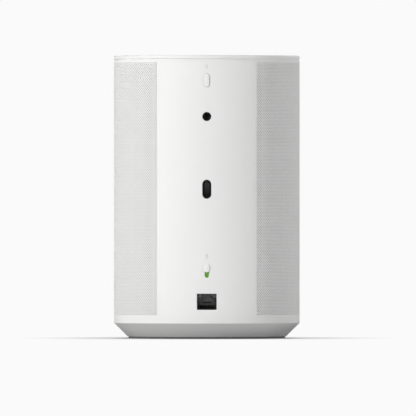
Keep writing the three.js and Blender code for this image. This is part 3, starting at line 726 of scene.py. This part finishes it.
SCREW_HEAD = 3.0
black_steel = moulding(
    "blackened_steel", (0.05, 0.05, 0.055), 0.42, 1800.0, relief=0.006, spread=0.5, gloss=0.3, metallic=0.9)
screw_levels = [
    (1.6, 1.9), (2.3, 1.96), (2.75, 2.25), (SCREW_HEAD, 2.75), (SCREW_HEAD, 3.8), (1.4, 3.8), (1.4, 19.5),
    (0.3, 20.8)]
for number, (x, y) in enumerate(SCREW_PLACES):
    screw = upright_rod(f"base_screw_head_{number + 1}", x, y, 8, screw_levels)
    arms = [
        skin_through("cutter", [
            lying_ring(1.5, width, depth, x, y, corner=0.1, steps=2),
            lying_ring(3.2, width * 0.7, depth * 0.9, x, y, corner=0.1, steps=2)])
        for width, depth in ((3.5, 0.75), (0.75, 3.5))]
    carved(screw, *arms)
    fit(softened(screw, angle=30), black_steel, "black_steel", f"base_screw_{number + 1}")

# ---------- pairing button ----------
# A white oblong button stands just proud of the panel, with rolled shoulders. Its flange stops it
# from behind, and a stem carries the press to a switch on the board.

BACK_Y = 65.25
BUTTON_PROUD = 0.8
CROWN = 0.06
button_white = moulding("button_white", (0.80, 0.80, 0.795), 0.45, 5200.0, relief=0.006, spread=0.012, gloss=0.12)


def rolled_face(size, top, shoulder, z):
    """Rings of a raised face with rolled shoulders and a slight crown, from its side up to the middle."""
    width, height = size
    levels = []
    for angle in np.linspace(0, math.pi / 2, 7):
        inset = shoulder * (1 - math.cos(angle))
        levels.append((top - CROWN - shoulder * (1 - math.sin(angle)), width - 2 * inset, height - 2 * inset))
    levels.append((top - CROWN / 3, (width - 2 * shoulder) * 0.6, height - 3 * shoulder))
    levels.append((top, (width - 2 * shoulder) * 0.15, height - 5 * shoulder))
    return [facing_ring(*level, z=z) for level in levels]


flange = (BUTTON_SIZE[0] + 2.4, BUTTON_SIZE[1] + 2.1)
button_levels = [(50.3, 2.6, 2.6), (61.5, 2.6, 2.6), (61.5, *flange), (62.65, *flange), (62.65, *BUTTON_SIZE)]
pairing_button = skin_through("pairing_button_cap", [
    *(facing_ring(*level, z=BUTTON_Z) for level in button_levels),
    *rolled_face(BUTTON_SIZE, BACK_Y + BUTTON_PROUD, 0.45, BUTTON_Z)])
fit(softened(pairing_button, angle=40), button_white, "button_plastic", "pairing_button", body="pairing_button")

# ---------- microphone switch ----------
# A white knob rides just over the panel on a neck that passes through an upright slot. A two-colour
# plate behind the slot travels with it: green shows with the microphones on, orange with them off.

KNOB_SIZE = (3.4, 5.8)
KNOB_Z = 45.6
KNOB_FRONT = 66.05
NECK_SIZE = (2.4, 4.8)
PLATE_FRONT = 62.4
CARRIER = (6.4, 14.4)
CARRIER_Z = 44.4

knob_rings = [
    *(facing_ring(y, 2.0, 2.8, z=KNOB_Z, corner=0.2) for y in (52.6, 60.6)),
    *(facing_ring(y, *CARRIER, z=CARRIER_Z, corner=0.4) for y in (60.6, 61.8)),
    facing_ring(61.8, *NECK_SIZE, z=KNOB_Z), facing_ring(BACK_Y + 0.12, *NECK_SIZE, z=KNOB_Z),
    facing_ring(BACK_Y + 0.12, KNOB_SIZE[0] - 0.2, KNOB_SIZE[1] - 0.2, z=KNOB_Z),
    *rolled_face(KNOB_SIZE, KNOB_FRONT, 0.4, KNOB_Z),
]
mic_knob = skin_through("mic_switch_knob", knob_rings)
fit(softened(mic_knob, angle=40), button_white, "button_plastic", "mic_switch_slider", body="mic_switch")

plate = facing_stack("mic_switch_plate", [(y, 6.0, 14.0) for y in (61.9, PLATE_FRONT)], z=CARRIER_Z, corner=0.4)
neck_hole = facing_stack("cutter", [(y, NECK_SIZE[0] + 0.3, NECK_SIZE[1] + 0.3) for y in (60, 70)], z=KNOB_Z)
carved(plate, neck_hole)
softened(plate, 0.06)


def colour_source(material):
    """A finish's node tree, the place on the piece and the colour that its effect gives."""
    tree = material.node_tree
    surface = next(node for node in tree.nodes if node.type == "GROUP")
    return tree, placed(tree, "TexCoord").outputs["Object"], surface.outputs["Color"]


def recoloured(material, color):
    """Gives a finish's shader its colour from another socket."""
    feed(material.node_tree, material.node_tree.nodes["Principled BSDF"], {"Base Color": color})
    return material


def blended(tree, factor, color, other):
    """The mix of a finish's colour with another colour."""
    return placed(tree, "Mix", {"Factor": factor, "A": color, "B": other}, data_type="RGBA").outputs["Result"]


def two_colour_plate():
    """Satin plastic in two shots, green below the knob and orange above, with a fine moulded grain."""
    material = moulding("switch_plate", (0.30, 0.80, 0.04), 0.5, 4000.0, relief=0.006, spread=0.08, gloss=0.15)
    tree, place, green = colour_source(material)
    height = placed(tree, "SeparateXYZ", {"Vector": place}).outputs["Z"]
    above = maths(tree, "GREATER_THAN", height, KNOB_Z * MM)
    return recoloured(material, blended(tree, above, green, (0.85, 0.24, 0.03, 1)))


fit(plate, two_colour_plate(), "indicator_plastic", "mic_switch_indicator", body="mic_switch")

# ---------- threaded insert ----------
# A blackened steel insert is pressed into the boss, so that a wall bracket can be screwed on. Its mouth
# is dished to lead a screw in, and fine thread turns run down the bore.

INSERT_REAR = 53.0
insert_steps = [(1.2, 54.5), (1.62, 54.5)]
thread_turn = 0.7
for turn in range(13):
    low = 54.7 + turn * thread_turn
    insert_steps += [(1.64, low), (1.9, low + 0.3), (1.64, low + 0.6)]
insert_steps += [
    (1.66, 63.95), (2.0, 64.15), (2.05, 64.4), (2.38, 64.55), (2.55, 64.88), (2.72, 64.9), (2.78, 64.8),
    (2.78, 61.6), (3.6, 61.6), (3.6, INSERT_REAR), (1.2, INSERT_REAR)]
insert = facing_rod("threaded_insert", insert_steps, z=INSERT_Z)
insert_steel = moulding(
    "insert_steel", (0.007, 0.007, 0.0073), 0.38, 2500.0, relief=0.004, spread=0.4, gloss=0.25, metallic=0.85)
fit(softened(insert, angle=35), insert_steel, "black_steel", "mounting_insert")

# ---------- data port ----------
# A deep black cup leads a plug to the USB-C receptacle on the board. The receptacle's drawn shell is
# blackened too, and its thin tongue stands in the middle.

CUP_FRONT = 65.0
CUP_FLOOR = 59.8
CUP_REAR = 58.6
black_plastic = moulding("black_moulding", (0.012, 0.012, 0.0125), 0.5, 3600.0)
black_plastic.node_tree.nodes["Principled BSDF"].inputs["Specular IOR Level"].default_value = 0.2
cup_outer = (DATA_MOUTH[0] - 0.16, DATA_MOUTH[1] - 0.16)
cup_inner = (DATA_MOUTH[0] - 1.0, DATA_MOUTH[1] - 1.0)
cup_floor = (cup_inner[0] - 0.5, cup_inner[1] - 0.5)
aperture = (3.8, 9.6)
cup_levels = [
    (CUP_REAR, *cup_outer), (CUP_FRONT - 0.15, *cup_outer), (CUP_FRONT, cup_outer[0] - 0.3, cup_outer[1] - 0.3),
    (CUP_FRONT - 0.35, *cup_inner), (CUP_FLOOR + 0.3, *cup_floor),
    (CUP_FLOOR, cup_floor[0] - 0.4, cup_floor[1] - 0.4), (CUP_FLOOR, *aperture), (CUP_REAR, *aperture)]
data_cup = facing_stack("data_port_cup", cup_levels, z=DATA_Z, steps=10, loop=True)
fit(softened(data_cup, angle=35), black_plastic, "black_plastic", "usb_recess")


def with_painted_shade_below(material, low, high, least):
    """Paints shade into a finish: its colour darkens towards the lower end of a deep recess, between two heights in
    millimetres.
    """
    tree, place, color = colour_source(material)
    height = placed(tree, "SeparateXYZ", {"Vector": place}).outputs["Z"]
    grade = placed(tree, "MapRange", {
        "Value": height, "From Min": low * MM, "From Max": high * MM, "To Min": least, "To Max": 1.0})
    graded = placed(tree, "VectorMath", {0: color, "Scale": grade.outputs["Result"]}, operation="SCALE")
    return recoloured(material, graded.outputs["Vector"])


# Painted shade: the receptacle's shell, plate, tongue and insulator darken towards the bottom of the port. The
# insulator's pale grey is partly painted light, so that the deep port looks lit.
port_painted_shade = (DATA_Z - 5.4, DATA_Z + 3.2, 0.06)
receptacle_steel = with_painted_shade_below(
    moulding("receptacle_steel", (0.055, 0.055, 0.056), 0.45, 2400.0, relief=0.004, metallic=0.3), *port_painted_shade)
receptacle_block = with_painted_shade_below(
    moulding("receptacle_block", (0.30, 0.30, 0.30), 0.6, 3000.0, relief=0.006, spread=0.15), *port_painted_shade)

plate_levels = [
    (CUP_FLOOR - 0.2, 3.5, 9.2), (CUP_FLOOR + 0.12, 3.5, 9.2), (CUP_FLOOR + 0.12, 4.0, 10.4),
    (CUP_FLOOR - 0.2, 4.0, 10.4)]
cup_plate = facing_stack("data_port_plate", plate_levels, z=DATA_Z, loop=True)
fit(softened(cup_plate), receptacle_steel, "black_plastic")
shell_levels = [
    (46.1, 3.2, 8.9), (59.35, 3.2, 8.9), (59.45, 3.05, 8.75), (59.4, 2.75, 8.45), (51.1, 2.7, 8.4),
    (51.1, 0.4, 6.0)]
receptacle = facing_stack("data_receptacle", shell_levels, z=DATA_Z)
fit(softened(receptacle, angle=35), receptacle_steel, "tin_steel", "usb_receptacle")
insulator = facing_stack("data_insulator", [(51.2, 2.6, 8.3), (55.0, 2.6, 8.3)], z=DATA_Z)
fit(softened(insulator, 0.1), receptacle_block, "black_plastic")
tongue = skin_through("data_tongue", [
    facing_ring(51.4, 0.7, 6.6, z=DATA_Z, corner=0.1, steps=2),
    facing_ring(58.1, 0.7, 6.6, z=DATA_Z, corner=0.2, steps=2),
    facing_ring(58.25, 0.5, 6.3, z=DATA_Z, corner=0.2, steps=2)])
fit(softened(tongue, angle=35), receptacle_steel, "black_plastic", "usb_tongue")

# ---------- network socket ----------
# A black socket sits just behind the panel's square opening. A thin dark liner rings its mouth and latch
# notch, two light windows stand in the upper corners, and eight sprung gold wires lie in the throat.

JACK_FACE = 63.95
JACK_BODY = (15.4, 14.4, 23.6)
JACK_FRONT = 62.0
THROAT_SIDE = 5.6
THROAT_LOW = 19.4
THROAT_TOP = 26.0
THROAT_REAR = 51.0
PLATE_LOW = 21.55
LATCH_FOOT = 3.2
LATCH_HEAD = 2.35
LATCH_TOP = 28.45
SLIT_SIZE = (6.2, 0.75)
SLIT_Z = 23.37
WINDOW_PLACES = [(-4.6, 27.4), (4.6, 27.4)]


def facing_block(name, rear, front, width, height, z):
    """A plain block with barely rounded long edges."""
    return facing_stack(name, [(y, width, height) for y in (rear, front)], z=z, corner=0.05, steps=2)


def mouth_ring(y, grow, low=THROAT_LOW):
    """The socket's mouth at a depth: a wide throat with the tapered latch notch above, grown a little."""
    half = [(THROAT_SIDE + grow, low - grow), (THROAT_SIDE + grow, THROAT_TOP + grow),
            (LATCH_FOOT + grow, THROAT_TOP + grow), (LATCH_HEAD + grow, LATCH_TOP + min(grow, 0.1))]
    return np.array([(x, y, z) for x, z in half + [(-x, z) for x, z in reversed(half)]])


jack_grey = moulding("socket_grey", (0.075, 0.075, 0.077), 0.6, 3200.0, spread=0.15)
snout = (JACK_MOUTH[0] - 0.2, JACK_MOUTH[1] - 0.2)
jack_levels = [
    (46.1, *JACK_BODY), (JACK_FRONT, *JACK_BODY), (JACK_FRONT, *snout, JACK_Z),
    (JACK_FACE - 0.12, *snout, JACK_Z), (JACK_FACE, snout[0] - 0.24, snout[1] - 0.24, JACK_Z)]
jack_body = skin_through("socket_body", [
    facing_ring(y, width, height, z=z, corner=0.3, steps=3) for y, width, height, z in jack_levels])
throat_cutter = skin_through("cutter", [mouth_ring(y, 0.0) for y in (THROAT_REAR - 0.8, 70)])
window_cutters = [
    facing_stack("cutter", [(y, 2.36, 2.36) for y in (THROAT_REAR, 70)], x, z, steps=6)
    for x, z in WINDOW_PLACES]
slit_cutter = facing_block("cutter", THROAT_REAR - 3.4, THROAT_REAR + 1, *SLIT_SIZE, SLIT_Z)
carved(jack_body, throat_cutter, *window_cutters, slit_cutter)
fit(softened(jack_body, 0.05, steps=1), jack_grey, "black_plastic", "rj45_housing")

# The liner's black is partly painted shade: it draws the dark edges round the mouth and latch notch.
liner = skin_through("socket_liner", [
    mouth_ring(57.0, 0.0), mouth_ring(JACK_FACE + 0.05, 0.0), mouth_ring(JACK_FACE + 0.12, 0.15),
    mouth_ring(JACK_FACE + 0.05, 0.48), mouth_ring(JACK_FACE - 0.1, 0.48), mouth_ring(57.0, 0.05)], loop=True)
fit(softened(liner, angle=35), black_plastic, "black_plastic")

back_plate = skin_through("socket_back_plate", [
    mouth_ring(y, -0.03, PLATE_LOW) for y in (THROAT_REAR - 0.75, THROAT_REAR)])
plate_slit = facing_block("cutter", THROAT_REAR - 1, THROAT_REAR + 1, *SLIT_SIZE, SLIT_Z)
carved(back_plate, plate_slit)
softened(back_plate, 0.05, steps=1)
# The back plate's pale grey is partly painted light, so that the deep back of the socket looks lit, and it darkens
# to black towards the bottom as painted shade.
plate_grey = with_painted_shade_below(
    moulding("socket_plate_grey", (0.5, 0.5, 0.5), 0.6, 3000.0, spread=0.12), 15.0, LATCH_TOP, 0.0)
fit(back_plate, plate_grey, "black_plastic")

smoked_clear = clear_moulding("smoked_clear", (0.075, 0.075, 0.077), 0.3)
window_levels = [
    (51.3, 2.3, 2.3), (JACK_FACE - 0.1, 2.3, 2.3), (JACK_FACE + 0.05, 2.1, 2.1), (JACK_FACE + 0.05, 1.5, 1.5),
    (JACK_FACE - 0.5, 1.0, 1.0)]
for (x, z), name in zip(WINDOW_PLACES, ("left", "right")):
    window = facing_stack(f"socket_window_{name}", window_levels, x, z, steps=6)
    fit(softened(window, angle=40), smoked_clear, "clear_plastic", f"rj45_light_guide_{name}")

WIRE_COUNT = 8
WIRE_PITCH = 1.02
# The comb's near-black is darker than the other black plastic and stands partly for the shade at the bottom of the
# throat: painted shade.
throat_painted_shade_black = moulding("throat_painted_shade_black", (0.003, 0.003, 0.003), 0.8, 3600.0, gloss=0.1)
throat_painted_shade_black.node_tree.nodes["Principled BSDF"].inputs["Specular IOR Level"].default_value = 0.1
comb = facing_block("contact_comb", 60.2, 61.0, 9.0, 1.0, 20.1)
fit(softened(comb, 0.08), throat_painted_shade_black, "black_plastic", "rj45_contacts")
for number in range(WIRE_COUNT + 1):
    tooth = facing_stack(
        f"comb_tooth_{number + 1}", [(60.3, 0.46, 1.3), (60.9, 0.46, 1.3)],
        (number - WIRE_COUNT / 2) * WIRE_PITCH, 20.95, corner=0.12, steps=3)
    fit(softened(tooth), throat_painted_shade_black, "black_plastic")
wire_gold = moulding("contact_gold", (0.16, 0.11, 0.045), 0.3, 2200.0, relief=0.003, spread=0.2, metallic=1.0)
wire_path = [(53.4, 21.5), (57.0, 20.9), (60.0, 20.15), (60.5, 20.35)]
for number in range(WIRE_COUNT):
    x = (number - (WIRE_COUNT - 1) / 2) * WIRE_PITCH
    wire = skin_through(f"contact_wire_{number + 1}", [
        [(x - 0.2, y, z - 0.15), (x + 0.2, y, z - 0.15), (x + 0.2, y, z + 0.15), (x - 0.2, y, z + 0.15)]
        for y, z in wire_path])
    fit(softened(wire, 0.04, steps=1), wire_gold, "contact_gold")

# ---------- printed marks ----------
# Pale grey pad-printed marks: linked rings over the pairing button, a microphone over the switch,
# and plus, minus and play signs beside the touch groove. The ink stands a few hundredths proud.

INK = 0.02
print_grey = moulding("print_grey", (0.6, 0.6, 0.6), 0.5, 5000.0, relief=0.002, spread=0.06, gloss=0.1)


def inked_line(points, width, closed=False):
    """The left and right edges of a printed line of even width."""
    points = np.asarray(points, float)
    if closed:
        ahead, behind = np.roll(points, -1, axis=0), np.roll(points, 1, axis=0)
    else:
        ahead, behind = np.vstack([points[1:], points[-1:]]), np.vstack([points[:1], points[:-1]])
    along = ahead - behind
    along /= np.linalg.norm(along, axis=1)[:, None]
    aside = np.column_stack([-along[:, 1], along[:, 0]]) * width / 2
    return points + aside, points - aside, closed


def on_panel(flat, lift):
    """Wraps a flat drawing on the back panel."""
    reach, angle = HALF_WIDTH + lift, flat[:, 0] / HALF_WIDTH
    return np.column_stack([-reach * np.sin(angle), ARC_CENTRE + reach * np.cos(angle), flat[:, 1]])


def on_cap(flat, lift):
    """Lays a flat drawing on the top cap."""
    return np.column_stack([flat[:, 0], flat[:, 1], np.full(len(flat), CAP_TOP + lift)])


def printed(name, surface, lines):
    """A mark made of printed lines, each a thin closed strip that lies on a surface."""
    points, quads = [], []
    for left, right, closed in lines:
        first, count = sum(len(p) for p in points), len(left)
        rings = np.stack([surface(left, INK), surface(right, INK), surface(right, -INK), surface(left, -INK)], 1)
        points.append(rings.reshape(-1, 3))
        for step in range(count if closed else count - 1):
            here, there = first + 4 * step, first + 4 * ((step + 1) % count)
            for side in range(4):
                quads.append([here + side, here + (side + 1) % 4, there + (side + 1) % 4, there + side])
        if not closed:
            quads += [[first, first + 1, first + 2, first + 3],
                      [first + 4 * count - 1, first + 4 * count - 2, first + 4 * count - 3, first + 4 * count - 4]]
    mark = facing_outward(mesh_from_arrays(name, np.vstack(points), [np.array(quads)]))
    return fit(mark, print_grey, "button_plastic")


PAIR_Z = 175.4
MIC_MARK_Z = 53.0


def ring_line(width, height, x, z, line):
    """A printed ring or long ring."""
    return inked_line(rounded_outline(width, height, 10.0, 6) + np.array([x, z]), line, closed=True)


printed("pairing_mark", on_panel, [
    ring_line(0.8, 1.6, -0.1, PAIR_Z + 0.62, line=0.22), ring_line(0.8, 1.6, 0.1, PAIR_Z - 0.62, line=0.22)])
cradle_turn = np.linspace(math.pi, 2 * math.pi, 11)
cradle = [(0.85 * math.cos(turn), MIC_MARK_Z - 0.1 + 0.85 * math.sin(turn)) for turn in cradle_turn]
printed("microphone_mark", on_panel, [
    ring_line(0.5, 1.5, 0, MIC_MARK_Z + 0.75, line=0.42), inked_line(cradle, 0.22),
    inked_line([(0, MIC_MARK_Z - 0.9), (0, MIC_MARK_Z - 1.5)], 0.24),
    inked_line([(-0.6, MIC_MARK_Z - 1.5), (0.6, MIC_MARK_Z - 1.5)], 0.24)])
SIGN_X, SIGN_REACH = 28.5, 1.6
printed("louder_mark", on_cap, [
    inked_line([(SIGN_X - SIGN_REACH, 0), (SIGN_X + SIGN_REACH, 0)], 0.36),
    inked_line([(SIGN_X, -SIGN_REACH), (SIGN_X, SIGN_REACH)], 0.36)])
printed("quieter_mark", on_cap, [inked_line([(-SIGN_X - SIGN_REACH, 0), (-SIGN_X + SIGN_REACH, 0)], 0.36)])
play_corners = [(-1.3, -15.3), (1.6, -17.0), (-1.3, -18.7)]
printed("play_mark", on_cap, [inked_line(play_corners, 0.36, closed=True)])

# ---------- acoustic cloth ----------
# A black open-weave cloth is bonded inside the grille, all round but for the panel. It hides the
# drivers behind the holes and keeps dust out.

CLOTH_OUTER = 58.1
CLOTH_WALL = 0.5
CLOTH_REACH = 31.0
CLOTH_Z = (13.9, 176.9)


def woven_threads_group():
    """Two sets of round threads that pass over and under each other on an upright round surface."""
    group, given, place = effect_group(
        "woven_threads", ("Thread Color", "Gap Color", "Threads Per Metre", "Roughness"))
    split = placed(group, "SeparateXYZ", {"Vector": place}).outputs
    pitch = given["Threads Per Metre"]
    around = maths(group, "MULTIPLY", maths(group, "ARCTAN2", split["Y"], split["X"]), HALF_WIDTH * MM)
    warp = maths(group, "MULTIPLY", maths(group, "MULTIPLY", around, pitch), math.pi)
    weft = maths(group, "MULTIPLY", maths(group, "MULTIPLY", split["Z"], pitch), math.pi)
    warp_round = maths(group, "ABSOLUTE", maths(group, "SINE", warp))
    weft_round = maths(group, "ABSOLUTE", maths(group, "SINE", weft))
    over = maths(group, "MULTIPLY", maths(group, "COSINE", warp), maths(group, "COSINE", weft))
    warp_height = maths(group, "MULTIPLY_ADD", over, 0.35, warp_round)
    weft_height = maths(group, "MULTIPLY_ADD", over, -0.35, weft_round)
    height = maths(group, "MAXIMUM", warp_height, weft_height)
    slub = placed(group, "TexNoise", {"Vector": place, "Scale": 900, "Detail": 3}).outputs["Fac"]
    cover = maths(group, "SUBTRACT", maths(group, "MULTIPLY", height, 1.3), maths(group, "MULTIPLY", slub, 0.5))
    covered = placed(group, "Clamp", {"Value": cover}).outputs["Result"]
    color = blended(group, covered, given["Gap Color"], given["Thread Color"])
    return completed(group, color, maths(group, "MULTIPLY_ADD", slub, 0.2, given["Roughness"]), height)


woven_threads = woven_threads_group()
cloth_black = finished(
    "acoustic_cloth_black", woven_threads, relief=0.1,
    thread_color=(0.16, 0.16, 0.165), gap_color=(0.03, 0.03, 0.03), threads_per_metre=2200.0, roughness=0.75)
cloth_start = CLOTH_OUTER * math.asin(CLOTH_REACH / CLOTH_OUTER) * HALF_WIDTH / CLOTH_OUTER
cloth_along = np.linspace(cloth_start, GIRTH - cloth_start, 161)
cloth_heights = np.linspace(*CLOTH_Z, 9)
cloth_grid = np.array([(a, h) for a in cloth_along for h in cloth_heights])
cloth_quads = np.array([
    [c * 9 + h, (c + 1) * 9 + h, (c + 1) * 9 + h + 1, c * 9 + h + 1]
    for c in range(len(cloth_along) - 1) for h in range(8)])
cloth = wrapped_wall("acoustic_cloth_sheet", cloth_grid, no_triangles, cloth_quads, CLOTH_WALL, CLOTH_OUTER)
fit(softened(cloth, angle=40), cloth_black, "acoustic_cloth", "acoustic_cloth")

# ---------- drivers, enclosure and boards ----------
# Behind the grille sit a sealed two-part enclosure with a woofer and two tweeters, the main board with
# its power and radio parts, and the touch board. They keep their machined shapes and get real finishes.


def rolled_metal_group():
    """Drawn or rolled metal: long fine scratches one way, with stains that dull the shine in places."""
    group, given, place = effect_group("rolled_metal", ("Color", "Stain Color", "Roughness", "Scratch Scale"))
    stretch = placed(group, "Mapping", {"Vector": place, "Scale": (1.0, 1.0, 0.06)})
    scratches = placed(group, "TexNoise", {
        "Vector": stretch.outputs["Vector"], "Scale": given["Scratch Scale"], "Detail": 5})
    stains = placed(group, "TexNoise", {"Vector": place, "Scale": 120, "Detail": 6})
    spread = placed(group, "MapRange", {"Value": stains.outputs["Fac"], "From Min": 0.5, "From Max": 0.75})
    stained = spread.outputs["Result"]
    color = blended(group, stained, given["Color"], given["Stain Color"])
    dull = maths(group, "MULTIPLY_ADD", stained, 0.3, given["Roughness"])
    return completed(group, color, dull, scratches.outputs["Fac"])


rolled_metal = rolled_metal_group()


def metal(name, color, stain, roughness, scale=1500.0):
    """A bare metal finish."""
    return finished(name, rolled_metal, relief=0.01, metallic=1.0, color=color, stain_color=stain,
                    roughness=roughness, scratch_scale=scale)


def board_laminate():
    """Green solder resist over copper: the tracks show as lighter straight runs under the gloss."""
    material = moulding("board_laminate", (0.02, 0.10, 0.045), 0.35, 1500.0, spread=0.1)
    tree, place, green = colour_source(material)
    tracks = placed(tree, "TexBrick", {
        "Vector": place, "Scale": 220, "Mortar Size": 0.03, "Color1": (0.0, 0.0, 0.0, 1),
        "Color2": (0.25, 0.25, 0.25, 1), "Mortar": (1.0, 1.0, 1.0, 1)})
    return recoloured(material, blended(tree, tracks.outputs["Color"], green, (0.05, 0.22, 0.09, 1)))


def flat_cable():
    """Pale film with parallel conductors printed along it."""
    material = moulding("flat_cable_film", (0.62, 0.60, 0.52), 0.4, 1800.0, spread=0.1)
    tree, place, film = colour_source(material)
    lines = placed(tree, "TexWave", {"Vector": place, "Scale": 320}, bands_direction="X")
    return recoloured(material, blended(tree, lines.outputs["Fac"], film, (0.45, 0.43, 0.36, 1)))


inner_finishes = {
    "black_plastic": moulding("enclosure_black", (0.016, 0.016, 0.017), 0.55, 1800.0, relief=0.03),
    "surround_rubber": moulding("surround_rubber", (0.02, 0.02, 0.021), 0.7, 2400.0, relief=0.02),
    "gasket_foam": moulding("gasket_foam", (0.03, 0.03, 0.032), 0.95, 900.0, relief=0.15),
    "circuit_board": board_laminate(),
    "tin_steel": metal("tinned_steel", (0.62, 0.63, 0.64), (0.40, 0.40, 0.40), 0.32),
    "black_steel": black_steel,
    "extruded_aluminium": metal("extruded_aluminium", (0.72, 0.73, 0.74), (0.5, 0.5, 0.51), 0.38, 2600.0),
    "dome_metal": metal("dome_metal", (0.55, 0.56, 0.58), (0.45, 0.45, 0.47), 0.3, 900.0),
    "coil_copper": metal("coil_copper", (0.72, 0.36, 0.18), (0.45, 0.2, 0.1), 0.35, 3500.0),
    "ferrite": moulding("ferrite", (0.022, 0.022, 0.024), 0.7, 1100.0, relief=0.05),
    "cone_paper": moulding("cone_paper", (0.02, 0.02, 0.021), 0.9, 700.0, relief=0.12, spread=0.6),
    "spider_cloth": finished(
        "spider_cloth", woven_threads, relief=0.15, thread_color=(0.5, 0.34, 0.10), gap_color=(0.14, 0.08, 0.02),
        threads_per_metre=1400.0, roughness=0.8),
    "ribbon_film": flat_cable(),
}
for part in frame["record"]["subparts"]:
    node = frame["nodes"][part["node"]]
    if not node.hide_render:
        finish = inner_finishes[part["material_slot"]]
        for place in node.material_slots:
            place.material = finish
